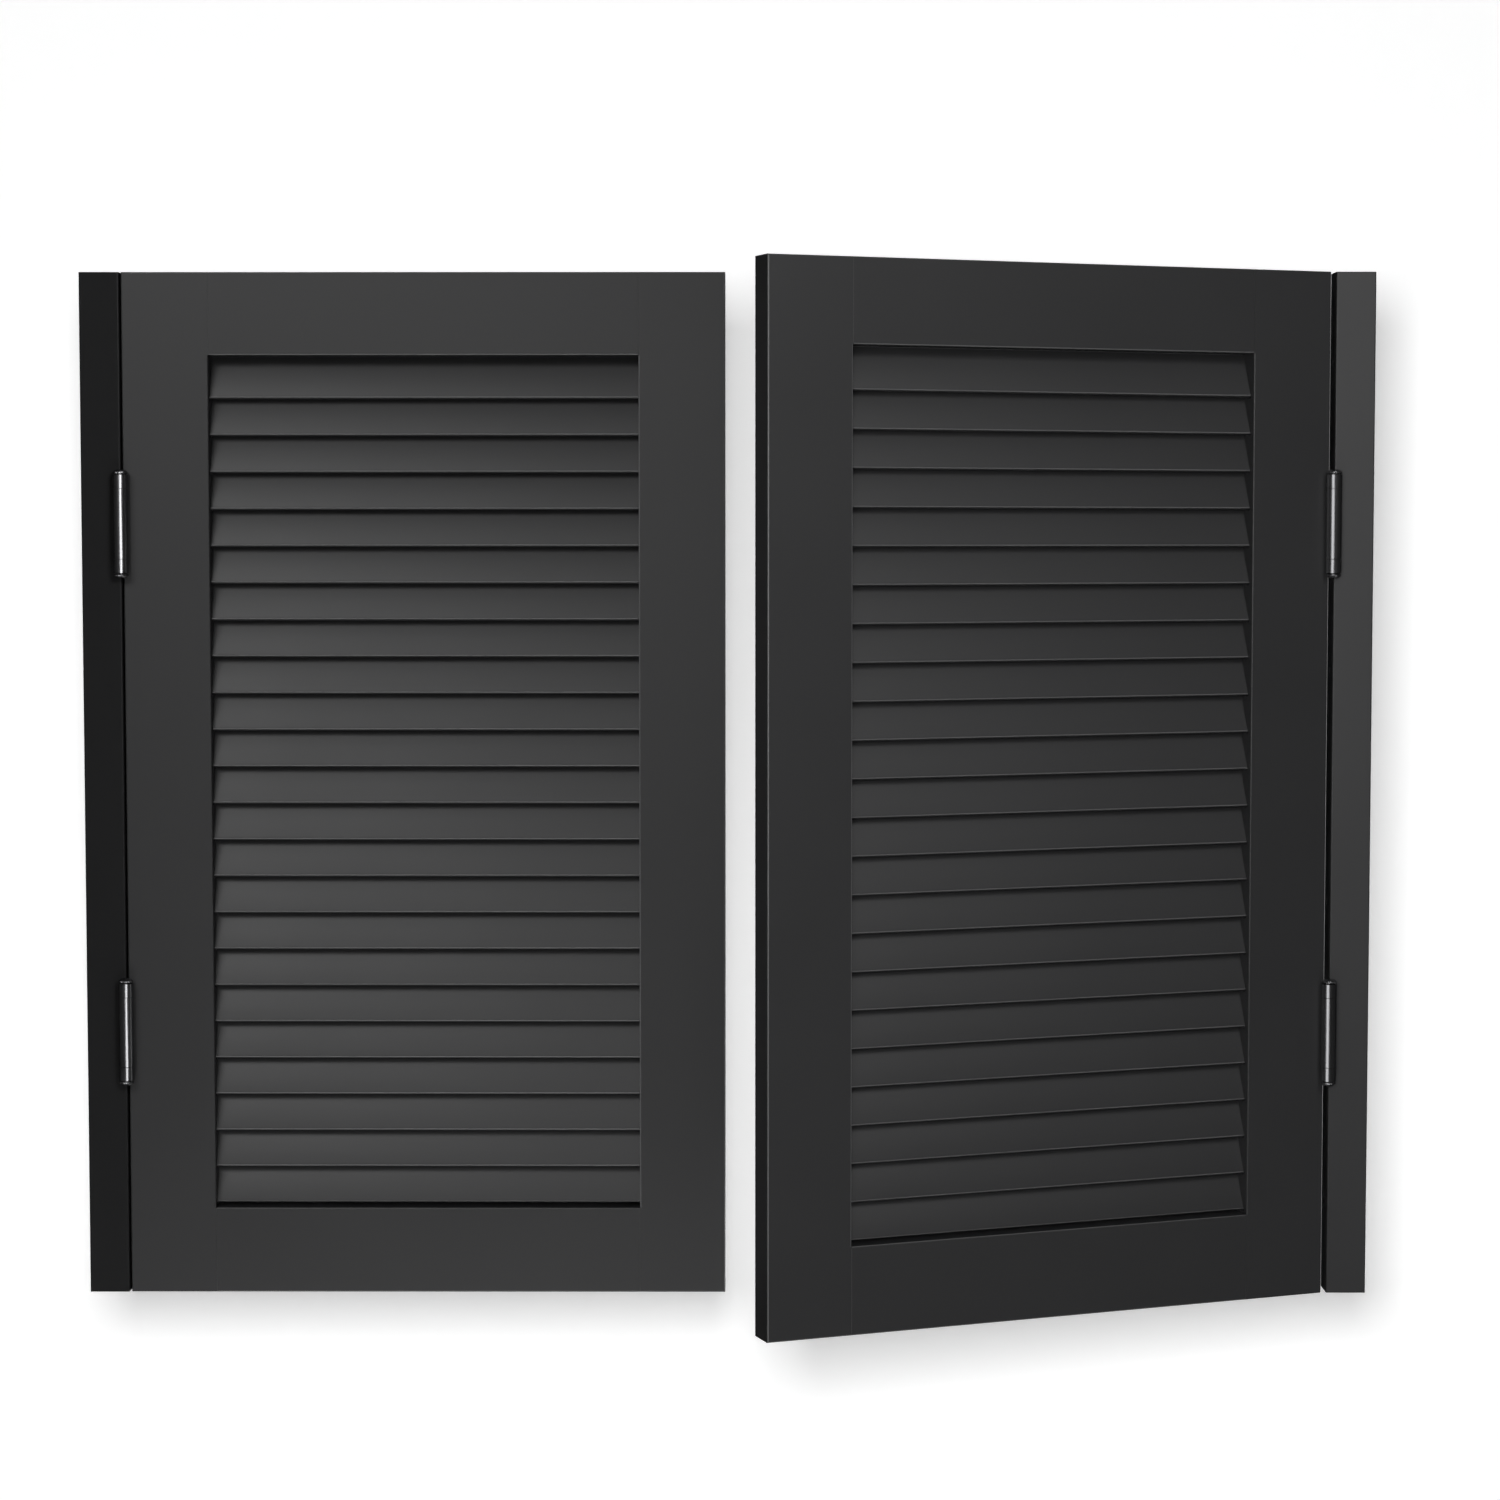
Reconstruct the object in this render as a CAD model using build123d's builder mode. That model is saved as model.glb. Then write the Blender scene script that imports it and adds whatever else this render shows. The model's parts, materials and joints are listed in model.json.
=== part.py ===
"""A pair of louvred double-action doors on hinge strips. Lengths are in millimetres, angles in degrees."""

import os
from math import cos, radians, sin

from build123d import *

# leaves and strips, all milled from boards of one thickness
leaf_height = 1067.0
leaf_width = 625.3
stock_thickness = 35.0
strip_width = 41.3
meeting_gap = 4.0
ajar_angle = 21.35  # how far the right leaf stands open towards the front
arris_radius = 1.5  # along the timbers' edges

# framing
stile_width = 89.8
top_rail_height = 85.5
bottom_rail_height = 89.5
shoulder_ease = 0.25
tenon_thickness = 11.0
tenon_length = 40.0
tenon_haunch = 15.0  # how far a tenon stays short of the rail's edges
tenon_clearance = 0.1
mortise_end_gap = 1.0

# slats, leaning back from the lip at the front
slat_thickness = 6.35
slat_depth = 48.0
slat_tilt = 20.0  # from upright
slat_pitch_aim = 38.4
slat_edge = 1.9  # chamfer along the slats' edges
slat_foot_gap = 2.2
slat_head_gap = 0.4
housing_depth = 8.0
housing_clearance = 0.15
slat_end_gap = 0.5

# double-action spring hinges
upper_hinge_drop = 260.0  # from the leaf's top edge to the hinge's middle
lower_hinge_rise = 277.0  # from the leaf's bottom edge
plate_thickness = 1.6
plate_clearance = 0.4  # each side of the centre link's web
flange_height = 101.6
flange_setback = 5.0  # from the face of the timber to the flange's free edge
recess_clearance = 0.2  # round a flange let into the timber
barrel_radius = 8.0
barrel_clearance = 0.3
plate_relief = 0.5  # between a plate's cut-back edge and a barrel that turns past it
knuckle_height = 14.0
knuckle_gap = 0.5
pivot_clearance = 0.05
pivot_reach = 10.0  # how far a pivot's plug enters the tube
tip_height = 5.2
tip_neck_height = 0.8
tip_bead_height = 3.0
tip_bead_inset = 0.4
tip_crown_radius = 5.0
key_socket_radius = 2.3
key_socket_depth = 3.0
spring_wire = 2.0
spring_clearance = 0.4

# screw holes
flange_screw_radius = 2.1
flange_screw_pitch = 36.0
flange_screw_stagger = 7.0  # each side of the timber's middle
wall_screw_radius = 2.6
wall_screw_head_radius = 5.2
wall_screw_outer_spacing = 880.0
wall_screw_inner_spacing = 240.0
countersink_angle = 90.0

# the flanges are let in flush, so only the centre link's web stands in the gap beside the leaf
hinge_gap = plate_thickness + 2 * plate_clearance
pivot_offset = barrel_radius + barrel_clearance
pivot_spacing = stock_thickness + 2 * pivot_offset
stock_middle = pivot_spacing / 2
bore_radius = barrel_radius - plate_thickness
plug_radius = bore_radius - pivot_clearance
tube_length = flange_height - 2 * (knuckle_height + knuckle_gap)
plug_length = knuckle_height + knuckle_gap + pivot_reach
overall_width = 2 * (strip_width + hinge_gap + leaf_width) + meeting_gap

# places across a leaf, from the pivot line, and up it, from mid-height
hinge_edge = hinge_gap / 2
meeting_edge = hinge_edge + leaf_width
opening_near = hinge_edge + stile_width
opening_far = meeting_edge - stile_width
leaf_bottom = -leaf_height / 2
leaf_top = leaf_height / 2
opening_bottom = leaf_bottom + bottom_rail_height
opening_top = leaf_top - top_rail_height
front_face = pivot_offset
back_face = pivot_offset + stock_thickness

# slats at an even pitch between the rails
slat_lean = radians(slat_tilt)
slat_upright = slat_depth * cos(slat_lean) + (slat_thickness - 2 * slat_edge) * sin(slat_lean)
lowest_slat = opening_bottom + slat_foot_gap + slat_upright / 2
highest_slat = opening_top - slat_head_gap - slat_upright / 2
slat_count = round((highest_slat - lowest_slat) / slat_pitch_aim) + 1
slat_pitch = (highest_slat - lowest_slat) / (slat_count - 1)
slat_heights = [lowest_slat + i * slat_pitch for i in range(slat_count)]

# Each side hangs from its front pivot line: local X runs from the strip to the meeting edge,
# local Y is the depth times "back", and Z is up from mid-height.
pivot_line = strip_width + hinge_gap / 2
left_jamb = Plane(origin=(pivot_line, -stock_middle, 0), x_dir=(1, 0, 0))
right_jamb = Plane(origin=(overall_width - pivot_line, -stock_middle, 0), x_dir=(-1, 0, 0))
sides = {
    "left": {"back": 1, "jamb": left_jamb, "leaf": left_jamb},
    "right": {"back": -1, "jamb": right_jamb, "leaf": right_jamb.rotated((0, 0, ajar_angle))},
}
hinge_levels = {"upper": leaf_top - upper_hinge_drop, "lower": leaf_bottom + lower_hinge_rise}


def on(frame, plane):
    """The plane, taken from local axes into the frame."""
    return Plane(frame.location * plane.location)


def save(builder, name):
    builder.part.label = name
    export_step(builder.part, f"parts/{name}.step")


def plate_span(pivot_depth):
    """Where a flange starts, beside its barrel, and where it ends, short of the timber's far face."""
    inward = 1 if pivot_depth < stock_middle else -1
    start = pivot_depth + inward * (barrel_radius + plate_relief)
    return inward, start, stock_middle + inward * (stock_thickness / 2 - flange_setback)


def flange_recesses(back, pivot_depth):
    """Sketches the two recesses that let a timber's flanges in, open towards their barrels."""
    inward, _, plate_end = plate_span(pivot_depth)
    near, far = pivot_depth + inward * barrel_radius, plate_end + inward * recess_clearance
    with Locations(*[(back * (near + far) / 2, level) for level in hinge_levels.values()]):
        Rectangle(abs(far - near), flange_height + 2 * recess_clearance)


def hinge_strip(name, frame, back):
    middle = -hinge_edge - strip_width / 2
    gap_face = on(frame, Plane.YZ.offset(-hinge_edge))
    wall_screws = [
        (back * stock_middle, half * spacing / 2)
        for spacing in (wall_screw_outer_spacing, wall_screw_inner_spacing)
        for half in (1, -1)
    ]
    with BuildPart() as strip:
        with BuildSketch(on(frame, Plane.XY.offset(leaf_bottom))):
            with Locations((middle, back * stock_middle)):
                Rectangle(strip_width, stock_thickness)
        extrude(amount=leaf_height)
        fillet(strip.edges().filter_by(Axis.Z), radius=arris_radius)
        with BuildSketch(gap_face):
            flange_recesses(back, 0)
        extrude(amount=-plate_thickness, mode=Mode.SUBTRACT)
        with Locations(gap_face):
            with Locations(*wall_screws):
                CounterSinkHole(
                    wall_screw_radius, wall_screw_head_radius, counter_sink_angle=countersink_angle
                )
    save(strip, name)


def stile(name, frame, back, outer_edge, inward, hung):
    """A stile with mortises, slat housings and an eased arris along the louvre opening."""
    inner_edge = outer_edge + inward * stile_width
    across = Axis(frame.origin, frame.x_dir)
    inner_plane = on(frame, Plane.YZ.offset(inner_edge))
    mortise_height = {
        (leaf_bottom + opening_bottom) / 2: bottom_rail_height - 2 * tenon_haunch,
        (opening_top + leaf_top) / 2: top_rail_height - 2 * tenon_haunch,
    }
    with BuildPart() as post:
        with BuildSketch(on(frame, Plane.XY.offset(leaf_bottom))):
            with Locations((outer_edge + inward * stile_width / 2, back * stock_middle)):
                Rectangle(stile_width, stock_thickness)
        extrude(amount=leaf_height)
        uprights = post.edges().filter_by(Axis.Z).group_by(across)
        outer_uprights = uprights[0] if inward > 0 else uprights[-1]
        fillet(outer_uprights + post.edges().filter_by(across), radius=arris_radius)
        with BuildSketch(on(frame, Plane.XY.offset(opening_bottom))):
            arris_x = inner_edge - inward * arris_radius
            arris_ys = (front_face + arris_radius, back_face - arris_radius)
            with Locations(*[(arris_x, back * y) for y in arris_ys]):
                Rectangle(2 * arris_radius, 2 * arris_radius)
            with Locations((arris_x, back * stock_middle)):
                Rectangle(2 * arris_radius, stock_thickness - 2 * arris_radius, mode=Mode.SUBTRACT)
            with Locations((arris_x - inward * arris_radius, back * stock_middle)):
                Rectangle(2 * arris_radius, stock_thickness, mode=Mode.SUBTRACT)
            with Locations(*[(arris_x, back * y) for y in arris_ys]):
                Circle(arris_radius, mode=Mode.SUBTRACT)
        extrude(amount=opening_top - opening_bottom, mode=Mode.SUBTRACT)
        with BuildSketch(inner_plane):
            with Locations(*[(back * stock_middle, z) for z in slat_heights]):
                Rectangle(
                    slat_thickness + 2 * housing_clearance,
                    slat_depth + 2 * housing_clearance,
                    rotation=-back * slat_tilt,
                )
        extrude(amount=-inward * housing_depth, mode=Mode.SUBTRACT)
        with BuildSketch(inner_plane):
            for height, length in mortise_height.items():
                with Locations((back * stock_middle, height)):
                    Rectangle(tenon_thickness + 2 * tenon_clearance, length + 2 * tenon_clearance)
        extrude(amount=-inward * (tenon_length + mortise_end_gap), mode=Mode.SUBTRACT)
        if hung:
            with BuildSketch(on(frame, Plane.YZ.offset(outer_edge))):
                flange_recesses(back, pivot_spacing)
            extrude(amount=plate_thickness, mode=Mode.SUBTRACT)
    save(post, name)


def rail(name, frame, back, low, high):
    """A rail with eased shoulders and a stub tenon at each end."""
    across = Axis(frame.origin, frame.x_dir)
    with BuildPart() as bar:
        with BuildSketch(on(frame, Plane.YZ.offset(opening_near))):
            with Locations((back * stock_middle, (low + high) / 2)):
                Rectangle(stock_thickness, high - low)
        extrude(amount=opening_far - opening_near)
        fillet(bar.edges().filter_by(across), radius=arris_radius)
        chamfer(bar.edges().filter_by(Axis.Z), length=shoulder_ease)
        with BuildSketch(on(frame, Plane.YZ.offset(opening_near - tenon_length))):
            with Locations((back * stock_middle, (low + high) / 2)):
                Rectangle(tenon_thickness, high - low - 2 * tenon_haunch)
        extrude(amount=opening_far - opening_near + 2 * tenon_length)
    save(bar, name)


def slats(name, frame, back):
    start = opening_near - housing_depth + slat_end_gap
    end = opening_far + housing_depth - slat_end_gap
    with BuildPart() as louvre:
        with BuildSketch(on(frame, Plane.YZ.offset(start))) as section:
            with Locations(*[(back * stock_middle, z) for z in slat_heights]):
                Rectangle(slat_thickness, slat_depth, rotation=-back * slat_tilt)
            chamfer(section.vertices(), length=slat_edge)
        extrude(amount=end - start)
    save(louvre, name)


def flange(name, frame, back, level, leafward, pivot_depth):
    """A plate let into the timber at one side of the gap, with a knuckle at each end of one barrel."""
    plate_x = leafward * (hinge_edge + plate_thickness / 2)
    _, plate_start, plate_end = plate_span(pivot_depth)
    hole_radii = [flange_screw_radius, flange_screw_radius + plate_thickness]  # wide towards the web
    if leafward > 0:
        hole_radii.reverse()
    stagger = {-1: flange_screw_stagger, 0: -flange_screw_stagger, 1: flange_screw_stagger}
    screws = [
        (back * (stock_middle + offset), level + step * flange_screw_pitch)
        for step, offset in stagger.items()
    ]
    with BuildPart() as leaf:
        with BuildSketch(on(frame, Plane.XY.offset(level - flange_height / 2))):
            with Locations((plate_x, back * (plate_start + plate_end) / 2)):
                Rectangle(plate_thickness, abs(plate_end - plate_start))
        extrude(amount=flange_height)
        for foot in (level - flange_height / 2, level + flange_height / 2 - knuckle_height):
            with BuildSketch(on(frame, Plane.XY.offset(foot))):
                with Locations((0, back * pivot_depth)):
                    Circle(barrel_radius)
                with Locations((plate_x, back * (pivot_depth + plate_start) / 2)):
                    Rectangle(plate_thickness, abs(plate_start - pivot_depth))
                with Locations((0, back * pivot_depth)):
                    Circle(bore_radius, mode=Mode.SUBTRACT)
            extrude(amount=knuckle_height)
        with Locations(on(frame, Plane.YZ.offset(plate_x))):
            with Locations(*screws):
                Cone(*hole_radii, plate_thickness, mode=Mode.SUBTRACT)
    save(leaf, name)


def centre_link(name, frame, back, level):
    """The web between the two spring tubes of a hinge."""
    pivots = [(0, 0), (0, back * pivot_spacing)]
    web_width = pivot_spacing - 2 * (barrel_radius + plate_relief)
    with BuildPart() as link:
        with BuildSketch(on(frame, Plane.XY.offset(level - flange_height / 2))):
            with Locations((0, back * stock_middle)):
                Rectangle(plate_thickness, web_width)
        extrude(amount=flange_height)
        with BuildSketch(on(frame, Plane.XY.offset(level - tube_length / 2))):
            with Locations((0, back * stock_middle)):
                Rectangle(plate_thickness, pivot_spacing)
            with Locations(*pivots):
                Circle(barrel_radius)
            with Locations(*pivots):
                Circle(bore_radius, mode=Mode.SUBTRACT)
        extrude(amount=tube_length)
    save(link, name)


def barrel_tip(name, frame, pivot_depth, end, outward, keyed):
    """A turned pin through the knuckle into the tube, with a beaded head. The top one has a key socket."""
    foot = frame.location * Location((0, pivot_depth, end))
    profile_plane = Plane(origin=foot.position, x_dir=frame.x_dir, z_dir=frame.y_dir * -outward)
    bead_radius = barrel_radius - tip_bead_inset
    with BuildPart() as tip:
        with BuildSketch(profile_plane):
            with BuildLine():
                Polyline(
                    (0, tip_height),
                    (0, -plug_length),
                    (plug_radius, -plug_length),
                    (plug_radius, tip_neck_height),
                    (bead_radius, tip_neck_height),
                    (bead_radius, tip_bead_height),
                    (tip_crown_radius, tip_height),
                    close=True,
                )
            make_face()
        revolve(axis=Axis(foot.position, (0, 0, 1)))
        if keyed:
            with BuildSketch(Plane(origin=foot.position, z_dir=(0, 0, outward)).offset(tip_height)):
                RegularPolygon(key_socket_radius, 6)
            extrude(amount=-key_socket_depth, mode=Mode.SUBTRACT)
    save(tip, name)


def torsion_spring(name, frame, pivot_depth, level):
    """The closely wound spring between the two plugs of a barrel, as the sleeve that its turns make."""
    length = flange_height - 2 * plug_length - 2 * spring_clearance
    outer_radius = bore_radius - spring_clearance
    with BuildPart() as coil:
        with BuildSketch(on(frame, Plane.XY.offset(level - length / 2))):
            with Locations((0, pivot_depth)):
                Circle(outer_radius)
                Circle(outer_radius - spring_wire, mode=Mode.SUBTRACT)
        extrude(amount=length)
    save(coil, name)


os.makedirs("parts", exist_ok=True)
for side, place in sides.items():
    back, jamb, leaf = place["back"], place["jamb"], place["leaf"]
    hinge_strip(f"{side}_hinge_strip", jamb, back)
    stile(f"{side}_hinge_stile", leaf, back, hinge_edge, 1, True)
    stile(f"{side}_meeting_stile", leaf, back, meeting_edge, -1, False)
    rail(f"{side}_top_rail", leaf, back, opening_top, leaf_top)
    rail(f"{side}_bottom_rail", leaf, back, leaf_bottom, opening_bottom)
    slats(f"{side}_slats", leaf, back)
    for height, level in hinge_levels.items():
        hinge = f"{side}_{height}"
        top, bottom = level + flange_height / 2, level - flange_height / 2
        flange(f"{hinge}_jamb_flange", jamb, back, level, -1, 0)
        flange(f"{hinge}_door_flange", leaf, back, level, 1, pivot_spacing)
        centre_link(f"{hinge}_centre_link", leaf, back, level)
        for face, carrier, depth in (("front", jamb, 0), ("back", leaf, back * pivot_spacing)):
            barrel_tip(f"{hinge}_{face}_tension_cap", carrier, depth, top, 1, True)
            barrel_tip(f"{hinge}_{face}_foot_pivot", carrier, depth, bottom, -1, False)
            torsion_spring(f"{hinge}_{face}_spring", leaf, depth, level)

print("overall width", overall_width, "slats", slat_count, "at", round(slat_pitch, 3))
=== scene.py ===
# A pair of black louvred swing doors, hung on double-action spring hinges
import json
from math import pi, radians

import bmesh
import bpy
from mathutils import Matrix, Vector

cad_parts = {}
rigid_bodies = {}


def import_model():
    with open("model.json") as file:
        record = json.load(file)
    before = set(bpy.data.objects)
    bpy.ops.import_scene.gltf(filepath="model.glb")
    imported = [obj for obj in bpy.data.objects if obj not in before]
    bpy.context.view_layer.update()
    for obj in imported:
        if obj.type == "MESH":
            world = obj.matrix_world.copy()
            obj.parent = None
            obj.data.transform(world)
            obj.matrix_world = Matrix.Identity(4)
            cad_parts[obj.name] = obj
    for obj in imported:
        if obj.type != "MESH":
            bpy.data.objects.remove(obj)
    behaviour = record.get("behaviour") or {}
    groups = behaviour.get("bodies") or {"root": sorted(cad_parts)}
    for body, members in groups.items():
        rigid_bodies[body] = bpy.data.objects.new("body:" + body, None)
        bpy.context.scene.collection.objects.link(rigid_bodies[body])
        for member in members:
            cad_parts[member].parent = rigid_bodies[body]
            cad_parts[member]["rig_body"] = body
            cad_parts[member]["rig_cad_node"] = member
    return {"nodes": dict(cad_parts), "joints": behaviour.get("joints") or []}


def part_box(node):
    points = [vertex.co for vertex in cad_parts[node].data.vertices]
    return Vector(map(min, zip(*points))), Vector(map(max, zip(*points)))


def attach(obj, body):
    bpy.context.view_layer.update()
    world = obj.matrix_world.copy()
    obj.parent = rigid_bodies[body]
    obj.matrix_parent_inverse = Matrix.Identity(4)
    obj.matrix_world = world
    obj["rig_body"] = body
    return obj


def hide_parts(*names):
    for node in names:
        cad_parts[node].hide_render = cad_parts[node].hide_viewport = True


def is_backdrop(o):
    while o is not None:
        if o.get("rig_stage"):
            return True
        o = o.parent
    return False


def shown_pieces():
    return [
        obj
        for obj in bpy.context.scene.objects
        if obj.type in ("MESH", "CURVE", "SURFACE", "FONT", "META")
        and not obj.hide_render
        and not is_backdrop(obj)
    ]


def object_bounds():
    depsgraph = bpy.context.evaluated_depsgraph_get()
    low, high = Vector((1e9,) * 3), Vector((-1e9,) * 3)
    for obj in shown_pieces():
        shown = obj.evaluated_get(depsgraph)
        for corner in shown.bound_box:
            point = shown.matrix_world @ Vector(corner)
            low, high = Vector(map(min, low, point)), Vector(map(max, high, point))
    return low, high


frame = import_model()
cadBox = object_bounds()
nodes = frame["nodes"]
joints = {joint["name"]: joint for joint in frame["joints"]}
mm = 0.001
print("frame loaded,", len(nodes), "CAD nodes")

ajarAngle = -joints["right_front_swing"]["springref"]  # the right leaf stands this far open
sideNames = ("left", "right")
levelNames = ("upper", "lower")


def hangingPlace(side, body):
    # local X runs from the strip to the meeting edge, from the front pivot line at mid-height
    pivot = Matrix.Translation(Vector(joints[side + "_front_swing"]["pos_m"]))
    if side == "left":
        return pivot
    turn = pi + (ajarAngle if body == "leaf" else 0)
    return pivot @ Matrix.Rotation(turn, 4, "Z")


def depthSign(side):
    return 1 if side == "left" else -1  # local Y points to the back on the left, to the front on the right


# mesh tools

def deselectAll():
    if bpy.context.mode != "OBJECT":
        bpy.ops.object.mode_set(mode="OBJECT")
    bpy.ops.object.select_all(action="DESELECT")


def makeActive(obj):
    deselectAll()
    obj.select_set(True)
    bpy.context.view_layer.objects.active = obj
    return obj


def startPrimitive(name):
    obj = bpy.context.active_object  # the primitive that was just added
    obj.name = name
    obj.data.name = name
    bpy.ops.object.transform_apply(location=True, rotation=True, scale=True)
    bpy.ops.object.mode_set(mode="EDIT")
    bpy.ops.mesh.select_all(action="DESELECT")
    return obj


def pickFaces(obj, wanted):
    mesh = bmesh.from_edit_mesh(obj.data)
    for face in mesh.faces:
        face.select_set(bool(wanted(face.calc_center_median(), face.normal)))
    bmesh.update_edit_mesh(obj.data)


def pickEdges(obj, wanted):
    bpy.ops.mesh.select_mode(type="EDGE")
    mesh = bmesh.from_edit_mesh(obj.data)
    for edge in mesh.edges:
        start, end = (vertex.co for vertex in edge.verts)
        edge.select_set(bool(wanted((start + end) / 2, end - start)))
    mesh.select_flush_mode()
    bmesh.update_edit_mesh(obj.data)


def finishShape(obj, smoothAngle=35):
    bpy.ops.object.mode_set(mode="OBJECT")
    makeActive(obj)
    bpy.ops.object.shade_smooth_by_angle(angle=radians(smoothAngle))
    return obj


def applyModifier(obj, kind, **settings):
    makeActive(obj)
    modifier = obj.modifiers.new(kind.title(), kind)
    for name, value in settings.items():
        setattr(modifier, name, value)
    bpy.ops.object.modifier_apply(modifier=modifier.name)


def copyTo(obj, matrix, name):
    twin = obj.copy()
    twin.data = obj.data.copy()
    twin.name = twin.data.name = name
    bpy.context.collection.objects.link(twin)
    twin.data.transform(matrix)
    return twin


def joinAll(objs, name):
    deselectAll()
    for obj in objs:
        obj.select_set(True)
    bpy.context.view_layer.objects.active = objs[0]
    bpy.ops.object.join()
    objs[0].name = objs[0].data.name = name
    return objs[0]


def dress(obj, material):
    obj.data.materials.clear()
    obj.data.materials.append(material)


# shader maths

class Signal:
    def __init__(self, shader, socket):
        self.shader = shader
        self.socket = socket

    def maths(self, operation, first, second):
        return self.shader.node("Math", {"operation": operation}, {0: first, 1: second})

    def __add__(self, other):
        return self.maths("ADD", self, other)

    def __radd__(self, other):
        return self.maths("ADD", other, self)

    def __sub__(self, other):
        return self.maths("SUBTRACT", self, other)

    def __rsub__(self, other):
        return self.maths("SUBTRACT", other, self)

    def __mul__(self, other):
        return self.maths("MULTIPLY", self, other)

    def __rmul__(self, other):
        return self.maths("MULTIPLY", other, self)


class Shader:
    def __init__(self, name):
        self.material = bpy.data.materials.new(name)
        self.material.use_nodes = True
        self.tree = self.material.node_tree
        self.tree.nodes.clear()

    def node(self, kind, settings=None, inputs=None, output=0):
        made = self.tree.nodes.new("ShaderNode" + kind)
        for name, value in (settings or {}).items():
            setattr(made, name, value)
        for key, value in (inputs or {}).items():
            if isinstance(value, Signal):
                self.tree.links.new(value.socket, made.inputs[key])
            else:
                made.inputs[key].default_value = value
        return Signal(self, made.outputs[output]) if made.outputs else None

    def objectPlace(self, turn=0):
        place = self.node("TexCoord", output="Object")
        return self.node("Mapping", inputs={"Vector": place, "Rotation": (0, 0, -turn)})

    def noise(self, place, stretch, detail=3, roughness=0.5):
        stretched = self.node("VectorMath", {"operation": "MULTIPLY"}, {0: place, 1: stretch})
        return self.node("TexNoise", inputs={
            "Vector": stretched, "Scale": 1, "Detail": detail, "Roughness": roughness})

    def finish(self, surface):
        self.node("OutputMaterial", inputs={"Surface": surface})
        return self.material


# satin black paint over closely grained timber

paint = {
    "colour": (0.030, 0.030, 0.031, 1),
    "deepColour": (0.025, 0.025, 0.026, 1),
    "roughness": 0.45,
    "roughnessSpread": 0.10,
    "grainAcross": 900,  # streaks per metre across the board
    "grainAlong": 22,
    "boardScale": 7,  # slow changes of tone over a board, per metre
    "peelScale": 420,  # the sprayed film's faint orange peel, per metre
    "bumpDepth": 0.12 * mm,
    "bumpStrength": 0.35,
}
edgeHighlightPaint = {  # the lighter colour on the arrises is a painted highlight along the edges; the paint there is also smoother
    "colour": (0.135, 0.135, 0.137, 1),
    "deepColour": (0.100, 0.100, 0.102, 1),
    "roughness": 0.34,
    "shortest": 30 * mm,  # an arris face is longer than this
    "squarest": 0.985,  # and its normal's largest part is below this
}


def paintMaterial(name, turn, alongX, look):
    shader = Shader(name)
    place = shader.objectPlace(turn)
    across, along = look["grainAcross"], look["grainAlong"]
    stretch = (along, across, across) if alongX else (across, across, along)
    grain = shader.noise(place, stretch, detail=4, roughness=0.6)
    board = shader.noise(place, (look["boardScale"],) * 3, detail=2)
    peel = shader.noise(place, (look["peelScale"],) * 3, detail=1)
    colour = shader.node("Mix", {"data_type": "RGBA"}, {
        0: 0.35 * grain + 0.65 * board, 6: look["deepColour"], 7: look["colour"]}, output=2)
    roughness = look["roughness"] + look["roughnessSpread"] * (0.5 * grain + 0.5 * board - 0.5)
    bump = shader.node("Bump", inputs={
        "Strength": look["bumpStrength"], "Distance": look["bumpDepth"],
        "Height": 0.7 * grain + 0.3 * peel})
    surface = shader.node("BsdfPrincipled", inputs={
        "Base Color": colour, "Roughness": roughness, "Normal": bump})
    return shader.finish(surface)


grainTurns = {"left": 0, "right": ajarAngle, "strip": 0}
paintFinish = {
    (side, way): paintMaterial(f"{side} {way} painted timber", turn, way == "level", paint)
    for side, turn in grainTurns.items() for way in ("upright", "level")
}
# a lighter paint for the arrises: painted highlight along the edges of boards and slats
edgeHighlightFinish = {
    side: paintMaterial(f"{side} rubbed paint", turn, False, {**paint, **edgeHighlightPaint})
    for side, turn in grainTurns.items()
}

# hinge steel, drawn lengthways and satin bright

steel = {
    "colour": (0.34, 0.34, 0.35, 1),
    "darkColour": (0.27, 0.27, 0.28, 1),
    "roughness": 0.24,
    "roughnessSpread": 0.08,
    "drawnAcross": 2600,  # drawing lines per metre round the barrel
    "drawnAlong": 40,
    "cloudScale": 60,
    "bumpDepth": 0.03 * mm,
    "bumpStrength": 0.3,
}


def steelMaterial(name, look):
    shader = Shader(name)
    place = shader.objectPlace()
    drawn = shader.noise(place, (look["drawnAcross"], look["drawnAcross"], look["drawnAlong"]), detail=3)
    cloud = shader.noise(place, (look["cloudScale"],) * 3, detail=2)
    colour = shader.node("Mix", {"data_type": "RGBA"}, {
        0: 0.5 * drawn + 0.5 * cloud, 6: look["darkColour"], 7: look["colour"]}, output=2)
    roughness = look["roughness"] + look["roughnessSpread"] * (0.6 * drawn + 0.4 * cloud - 0.5)
    bump = shader.node("Bump", inputs={
        "Strength": look["bumpStrength"], "Distance": look["bumpDepth"], "Height": drawn})
    surface = shader.node("BsdfPrincipled", inputs={
        "Base Color": colour, "Metallic": 1, "Roughness": roughness, "Normal": bump})
    return shader.finish(surface)


hingeSteel = steelMaterial("drawn hinge steel", steel)
springSteel = steelMaterial("oiled spring steel", {
    **steel, "colour": (0.24, 0.24, 0.25, 1), "darkColour": (0.16, 0.16, 0.17, 1), "roughness": 0.36})
screwSteel = steelMaterial("bright screw steel", {**steel, "roughness": 0.34, "drawnAlong": 2600})
print("materials made")


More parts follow.
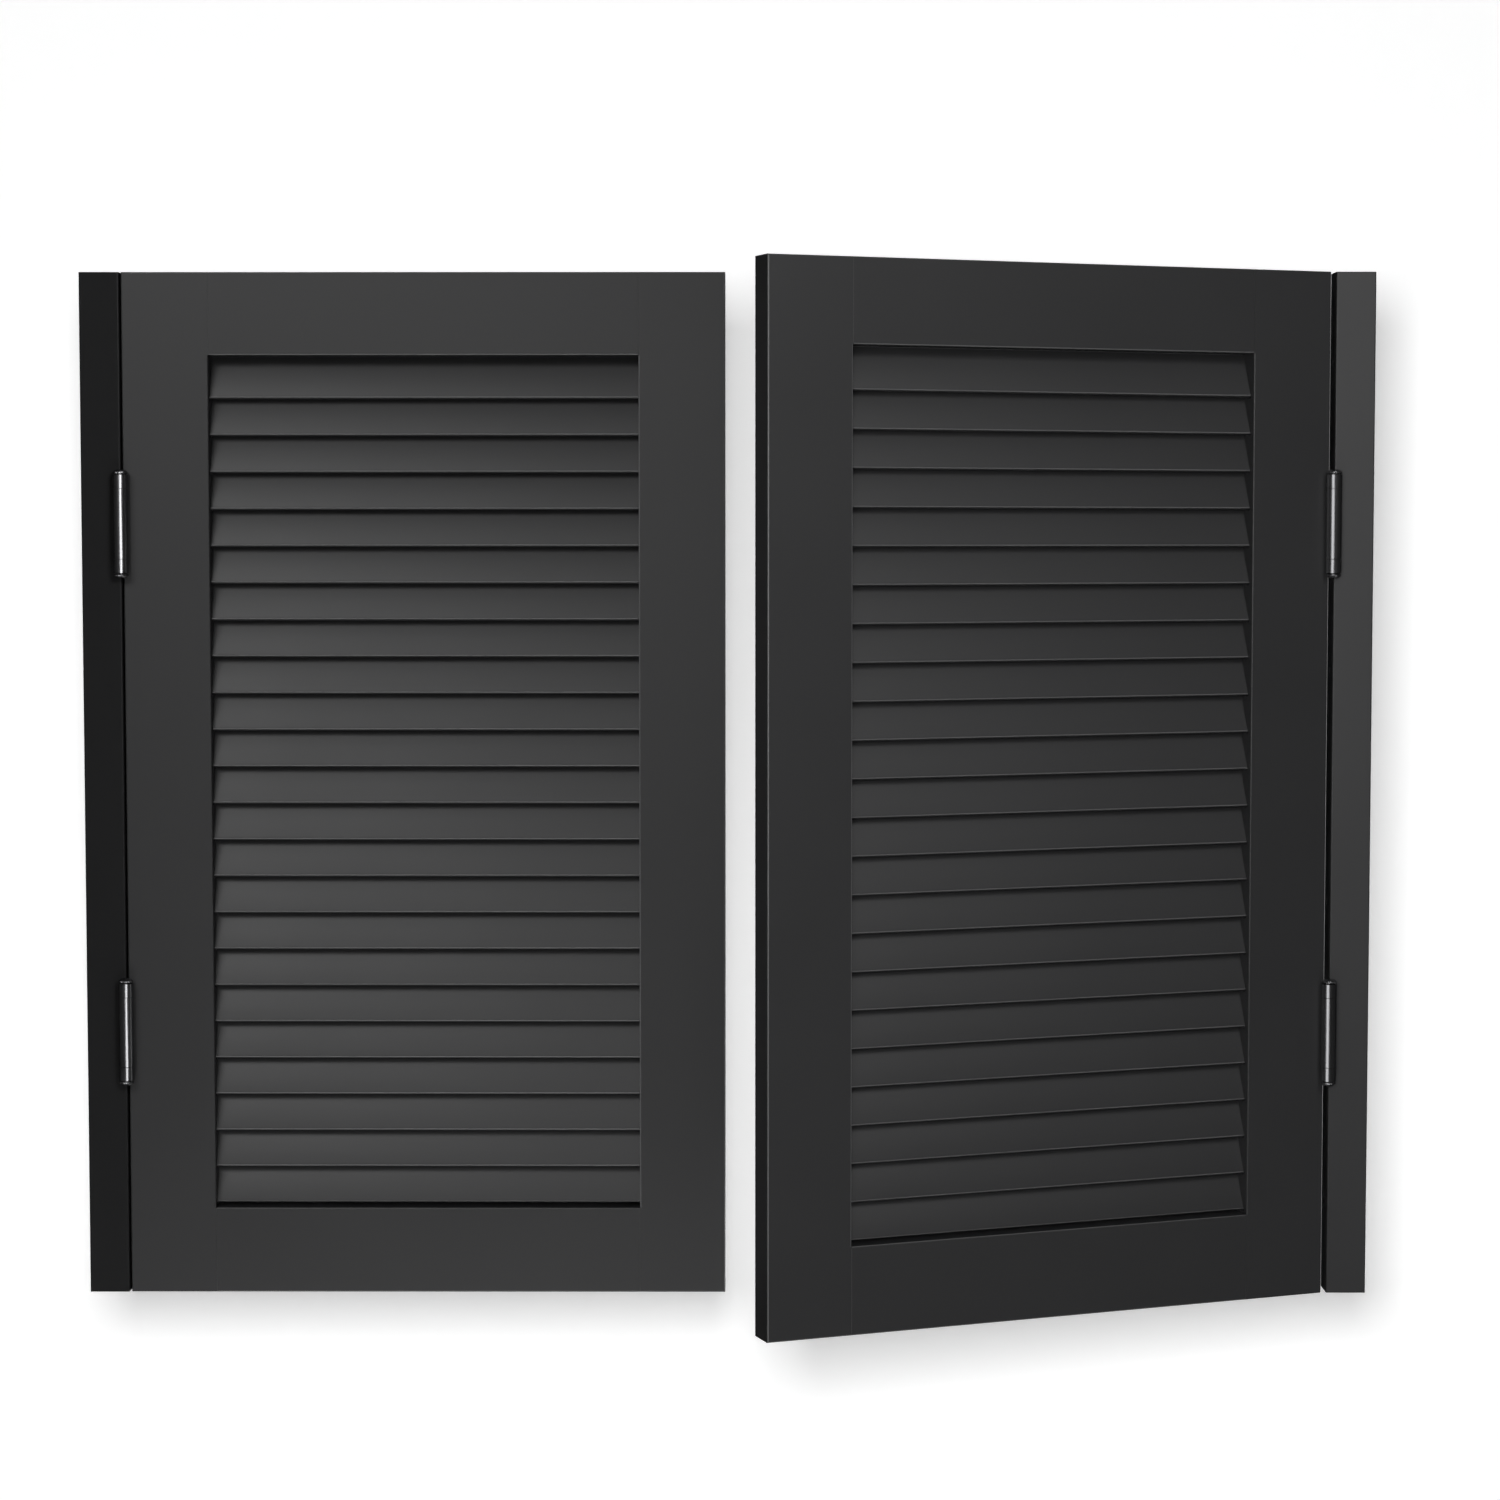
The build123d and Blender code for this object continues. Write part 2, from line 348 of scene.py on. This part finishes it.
def paintEdgeHighlights(obj, side, finish):
    # long faces that lie square neither to the board nor to the slats are its rounded arrises, which get
    # the lighter paint of the painted edge highlight
    turn = hangingPlace(side, "leaf").to_3x3().inverted()
    tilt = Matrix.Rotation(depthSign(side) * slat["tilt"], 3, "X")
    obj.data.materials.append(finish)
    for face in obj.data.polygons:
        corners = [obj.data.vertices[index].co for index in face.vertices]
        longest = max((a - b).length for a, b in zip(corners, corners[1:] + corners[:1]))
        normal = turn @ face.normal
        square = max(max(abs(c) for c in way) for way in (normal, tilt @ normal))
        if longest > edgeHighlightPaint["shortest"] and square < edgeHighlightPaint["squarest"]:
            face.material_index = 1


slat = {
    "thickness": 6.35 * mm,
    "depth": 48 * mm,
    "tilt": radians(20),  # from upright, the lip at the front
    "rounding": 1.4 * mm,
    "roundingSteps": 4,
    "lipTrim": 1.8 * mm,  # the lip stops this far short of the CAD slat's
}

# timbers keep their CAD solids

for side in sideNames:
    dress(nodes[side + "_hinge_strip"], paintFinish["strip", "upright"])
    for stile in ("_hinge_stile", "_meeting_stile"):
        dress(nodes[side + stile], paintFinish[side, "upright"])
    for rail in ("_top_rail", "_bottom_rail"):
        dress(nodes[side + rail], paintFinish[side, "level"])
    for board in ("_meeting_stile", "_top_rail", "_bottom_rail"):
        # painted highlight on the arrises of the meeting stile and rails
        paintEdgeHighlights(nodes[side + board], side, edgeHighlightFinish[side])

# rounded slats in place of the CAD's chamfered ones

def modelSlats(side):
    solid = nodes[side + "_slats"]
    place = hangingPlace(side, "leaf")
    local = [place.inverted() @ vertex.co for vertex in solid.data.vertices]
    low = Vector([min(co[axis] for co in local) for axis in range(3)])
    high = Vector([max(co[axis] for co in local) for axis in range(3)])
    lowest = min(local, key=lambda co: co.z)  # the same corner of every slat lies at the same depth
    levels = sorted({round(co.z, 5) for co in local if abs(co.y - lowest.y) < 1e-5})
    count = len(levels)
    pitch = (levels[-1] - levels[0]) / (count - 1)
    rise = high.z - low.z - pitch * (count - 1)

    deselectAll()
    bpy.ops.mesh.primitive_cube_add(
        size=1, scale=(high.x - low.x, slat["thickness"], slat["depth"] - slat["lipTrim"]),
        location=(0, 0, slat["lipTrim"] / 2))
    board = startPrimitive(side + "_louvre")
    pickEdges(board, lambda middle, run: abs(run.x) > 10 * mm)
    bpy.ops.mesh.bevel(offset=slat["rounding"], segments=slat["roundingSteps"], profile=0.5)
    finishShape(board)
    tilt = Matrix.Rotation(-depthSign(side) * slat["tilt"], 4, "X")
    first = Vector(((low.x + high.x) / 2, (low.y + high.y) / 2, low.z + rise / 2))
    board.data.transform(Matrix.Translation(first) @ tilt)
    applyModifier(board, "ARRAY", count=count, use_relative_offset=False, use_constant_offset=True,
                  constant_offset_displace=(0, 0, pitch))
    board.data.transform(place)
    dress(board, paintFinish[side, "level"])
    # painted highlight on the slats' arrises
    paintEdgeHighlights(board, side, edgeHighlightFinish[side])
    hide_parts(solid.name)
    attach(board, side + "_leaf")
    print(side, "louvre:", count, "slats, pitch", round(pitch / mm, 2), "mm")


for side in sideNames:
    modelSlats(side)

# hinge metal: smooth copies of the CAD solids


def smoothTwin(name, material):
    solid = nodes[name]
    twin = copyTo(solid, Matrix.Identity(4), name + "_turned")
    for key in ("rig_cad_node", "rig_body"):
        del twin[key]
    twin.parent = None
    makeActive(twin)
    bpy.ops.object.mode_set(mode="EDIT")
    bpy.ops.mesh.select_all(action="SELECT")
    bpy.ops.mesh.remove_doubles(threshold=0.002 * mm)
    finishShape(twin, 30)
    dress(twin, material)
    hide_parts(name)
    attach(twin, solid["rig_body"])


for name in list(nodes):
    if name.endswith(("_flange", "_link", "_cap", "_pivot")):
        smoothTwin(name, hingeSteel)
    elif name.endswith("_spring"):
        dress(nodes[name], springSteel)
print("hinges dressed")

# countersunk screws that hold the flanges

screw = {
    "headRadius": 3.45 * mm,
    "rim": 0.1 * mm,
    "headDepth": 1.55 * mm,
    "shankRadius": 1.9 * mm,
    "shankLength": 22 * mm,
    "shankTaper": 0.92,
    "pointLength": 4 * mm,
    "pointTaper": 0.12,
    "recessWidth": 0.8 * mm,
    "recessReach": 3.9 * mm,
    "recessDepth": 1.2 * mm,
    "recessTaper": 0.45,
    "pitch": 36 * mm,
    "stagger": 7 * mm,
    "headSink": 1.25 * mm,  # from the gap's middle to the head's top, just under the plate's face
    "recessTurn": radians(25),  # how far round the middle screw of a row was driven
    "recessTurnStep": radians(40),
    "sides": 32,
}


def stretchDown(obj, depth, width):
    # draws the lowest face down by depth and scales it by width
    lowest = min(vertex.co.z for vertex in bmesh.from_edit_mesh(obj.data).verts)
    pickFaces(obj, lambda middle, normal: middle.z < lowest + 0.001 * mm and normal.z < -0.9)
    bpy.ops.mesh.extrude_region_move(TRANSFORM_OT_translate={"value": (0, 0, -depth)})
    bpy.ops.transform.resize(value=(width, width, 1), center_override=(0, 0, lowest - depth))


def modelRecess():
    blades = []
    for turn in (0, pi / 2):
        deselectAll()
        bpy.ops.mesh.primitive_cube_add(
            size=1, rotation=(0, 0, turn),
            scale=(screw["recessReach"], screw["recessWidth"], 2 * screw["recessDepth"]))
        blade = startPrimitive("recess blade")
        pickFaces(blade, lambda middle, normal: normal.z < -0.9)
        taper = screw["recessTaper"]
        bpy.ops.transform.resize(value=(taper, taper, 1), center_override=(0, 0, -screw["recessDepth"]))
        bpy.ops.object.mode_set(mode="OBJECT")
        blades.append(blade)
    applyModifier(blades[0], "BOOLEAN", operation="UNION", object=blades[1], solver="EXACT")
    bpy.data.objects.remove(blades[1])
    return blades[0]


def modelScrew():
    deselectAll()
    bpy.ops.mesh.primitive_cylinder_add(
        vertices=screw["sides"], radius=screw["headRadius"], depth=screw["rim"],
        location=(0, 0, -screw["rim"] / 2))
    body = startPrimitive("flange screw")
    stretchDown(body, screw["headDepth"], screw["shankRadius"] / screw["headRadius"])
    stretchDown(body, screw["shankLength"], screw["shankTaper"])
    stretchDown(body, screw["pointLength"], screw["pointTaper"])
    bpy.ops.object.mode_set(mode="OBJECT")
    recess = modelRecess()
    applyModifier(body, "BOOLEAN", operation="DIFFERENCE", object=recess, solver="EXACT")
    bpy.data.objects.remove(recess)
    return finishShape(body, 30)


screwModel = modelScrew()
flangeFace = {"jamb": 1, "door": -1}  # which way along local X a flange's screw heads look


def fitScrews(side, level, flange):
    look = flangeFace[flange]
    solid = f"{side}_{level}_{flange}_flange"
    low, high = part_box(solid)
    place = hangingPlace(side, "leaf" if flange == "door" else "strip")
    plate = Vector(joints["left_back_swing"]["pos_m"]) - Vector(joints["left_front_swing"]["pos_m"])
    middle = depthSign(side) * plate.y / 2
    copies = []
    for step in (-1, 0, 1):
        across = middle + depthSign(side) * screw["stagger"] * (1 if step else -1)
        spot = Vector((-look * screw["headSink"], across, (low.z + high.z) / 2 + step * screw["pitch"]))
        turn = screw["recessTurn"] + step * screw["recessTurnStep"]
        aim = Matrix.Rotation(look * pi / 2, 4, "Y") @ Matrix.Rotation(turn, 4, "Z")
        copies.append(copyTo(screwModel, place @ Matrix.Translation(spot) @ aim, "screw"))
    row = joinAll(copies, f"{side}_{level}_{flange}_screws")
    dress(row, screwSteel)
    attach(row, side + "_leaf" if flange == "door" else "frame")


for side in sideNames:
    for level in levelNames:
        for flange in flangeFace:
            fitScrews(side, level, flange)
bpy.data.objects.remove(screwModel)
print("flange screws fitted")

# studio: pale floor and backdrop, softboxes for each side and the back, a lamp by the camera for the shadow

studio = {
    "floorHeight": -1.7,
    "backdropDepth": 0.80,
    "stageReach": 6.0,
    "stageColour": (0.92, 0.92, 0.92, 1),
    "stageGlow": 0.38,  # what the camera sees on top of the lit stage
    "floorMirroring": 0.4,  # how much of the stage the paint and metal reflect
    "backdropMirroring": 0,
    "worldStrength": 0.03,
}
lamps = {
    "left overhead softbox": {
        "place": (-1.0, -3.2, 2.1), "aim": (0.35, 0, 0), "width": 2.2, "height": 1.2,
        "power": 55, "lights": "left leaf"},
    "left front softbox": {
        "place": (0.4, -3.2, 0.4), "aim": (0.35, 0, 0), "width": 1.2, "height": 1.2,
        "power": 9, "lights": "left leaf"},
    "left low softbox": {
        "place": (0.4, -1.2, -1.5), "aim": (0.35, 0, 0), "width": 1.4, "height": 0.3,
        "power": 9, "lights": "left leaf"},
    "left edge softbox": {
        "place": (1.8, -3.2, 1.6), "aim": (0, 0, 0), "width": 1.2, "height": 1.2,
        "power": 33, "lights": "left strip"},
    "right overhead softbox": {
        "place": (2.4, -3.2, 2.1), "aim": (1.0, 0, 0), "width": 1.2, "height": 1.2,
        "power": 36, "lights": "right"},
    "right front softbox": {
        "place": (0.5, -3.2, 0.4), "aim": (1.0, 0, 0), "width": 1.6, "height": 1.2,
        "power": 41, "lights": "right paint"},
    "left metal softbox": {
        "place": (0.9, -3.3, 0), "aim": (0, 0, 0), "width": 1.2, "height": 3.2,
        "power": 44, "lights": "left steel"},
    "right metal softbox": {
        "place": (-0.5, -3.3, 0), "aim": (1.3, 0, 0), "width": 2.4, "height": 3.2,
        "power": 48, "lights": "right steel"},
    "rear softbox": {
        "place": (3.1, 2.3, -1.5), "aim": (0.67, 0, 0), "width": 2.2, "height": 0.8,
        "power": 80, "lights": "all"},
    "shadow lamp": {
        "place": (0.623, -3.56, 0.40), "aim": (0.67, 0, 0), "width": 0.34, "height": 0.34,
        "power": 120, "lights": "stage"},
}
camera = {
    "place": (0.70865, -3.5603, 0.2577),
    "down": radians(3.542),
    "left": radians(0.224),
    "lens": 81.73,
    "sensor": 36,
}


def stageMaterial(name, mirroring):
    shader = Shader(name)
    seen = shader.node("LightPath", output="Is Camera Ray")
    mirrored = shader.node("LightPath", output="Is Glossy Ray") * (1 - mirroring)
    diffuse = shader.node("BsdfDiffuse", inputs={"Color": studio["stageColour"]})
    glow = shader.node("Emission", inputs={"Color": (1, 1, 1, 1), "Strength": studio["stageGlow"] * seen})
    lit = shader.node("AddShader", inputs={0: diffuse, 1: glow})
    dark = shader.node("BsdfDiffuse", inputs={"Color": (0, 0, 0, 1)})
    front = shader.node("MixShader", inputs={0: mirrored, 1: lit, 2: dark})
    rear = shader.node("NewGeometry", output="Backfacing")
    clear = shader.node("BsdfTransparent")
    return shader.finish(shader.node("MixShader", inputs={0: rear, 1: front, 2: clear}))


def stagePlane(name, mirroring, location, rotation):
    deselectAll()
    bpy.ops.mesh.primitive_plane_add(size=2 * studio["stageReach"], location=location, rotation=rotation)
    plane = bpy.context.active_object
    plane.name = name
    dress(plane, stageMaterial(name + " finish", mirroring))
    plane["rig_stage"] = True
    return plane


def areaLamp(name, look, group):
    deselectAll()
    direction = Vector(look["aim"]) - Vector(look["place"])
    bpy.ops.object.light_add(
        type="AREA", location=look["place"], rotation=direction.to_track_quat("-Z", "Y").to_euler())
    lamp = bpy.context.active_object
    lamp.name = name
    lamp.data.shape = "RECTANGLE"
    lamp.data.size = look["width"]
    lamp.data.size_y = look["height"]
    lamp.data.energy = look["power"]
    lamp.light_linking.receiver_collection = group
    lamp.light_linking.blocker_collection = litGroups["all"]  # the stage throws no shadow


centre = (cadBox[0] + cadBox[1]) / 2
floorPlane = stagePlane(
    "studio_floor", studio["floorMirroring"],
    (centre.x, studio["backdropDepth"] - studio["stageReach"], studio["floorHeight"]), (0, 0, 0))
backdrop = stagePlane(
    "studio_backdrop", studio["backdropMirroring"],
    (centre.x, studio["backdropDepth"], studio["floorHeight"] + studio["stageReach"]), (pi / 2, 0, 0))

bpy.ops.object.camera_add(location=camera["place"], rotation=(pi / 2 - camera["down"], 0, camera["left"]))
view = bpy.context.active_object
view.data.lens = camera["lens"]
view.data.sensor_width = camera["sensor"]
view.data.dof.use_dof = False
bpy.context.scene.camera = view

litGroups = {name: bpy.data.collections.new("lit " + name) for name in (
    "all", "left leaf", "left strip", "left steel", "right", "right paint", "right steel", "stage")}
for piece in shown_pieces():
    litGroups["all"].objects.link(piece)
    side = piece.name.split("_")[0]
    onStrip = "hinge_strip" in piece.name
    litGroups["right" if side == "right" else "left strip" if onStrip else "left leaf"].objects.link(piece)
    if "steel" in piece.data.materials[0].name:
        litGroups[side + " steel"].objects.link(piece)
    elif side == "right":
        litGroups["right paint"].objects.link(piece)
for plane in (floorPlane, backdrop):
    litGroups["stage"].objects.link(plane)
for name, look in lamps.items():
    areaLamp(name, look, litGroups[look["lights"]])

world = bpy.data.worlds.new("studio")
bpy.context.scene.world = world
world.use_nodes = True
worldTree = world.node_tree
worldTree.nodes.clear()
sky = worldTree.nodes.new("ShaderNodeBackground")
sky.inputs["Color"].default_value = (1, 1, 1, 1)
sky.inputs["Strength"].default_value = studio["worldStrength"]
white = worldTree.nodes.new("ShaderNodeBackground")
white.inputs["Color"].default_value = (1, 1, 1, 1)
rays = worldTree.nodes.new("ShaderNodeLightPath")
either = worldTree.nodes.new("ShaderNodeMixShader")
out = worldTree.nodes.new("ShaderNodeOutputWorld")
worldTree.links.new(rays.outputs["Is Camera Ray"], either.inputs[0])
worldTree.links.new(sky.outputs[0], either.inputs[1])
worldTree.links.new(white.outputs[0], either.inputs[2])
worldTree.links.new(either.outputs[0], out.inputs["Surface"])
bpy.context.scene.view_settings.view_transform = "Standard"
print("studio lit")

deselectAll()
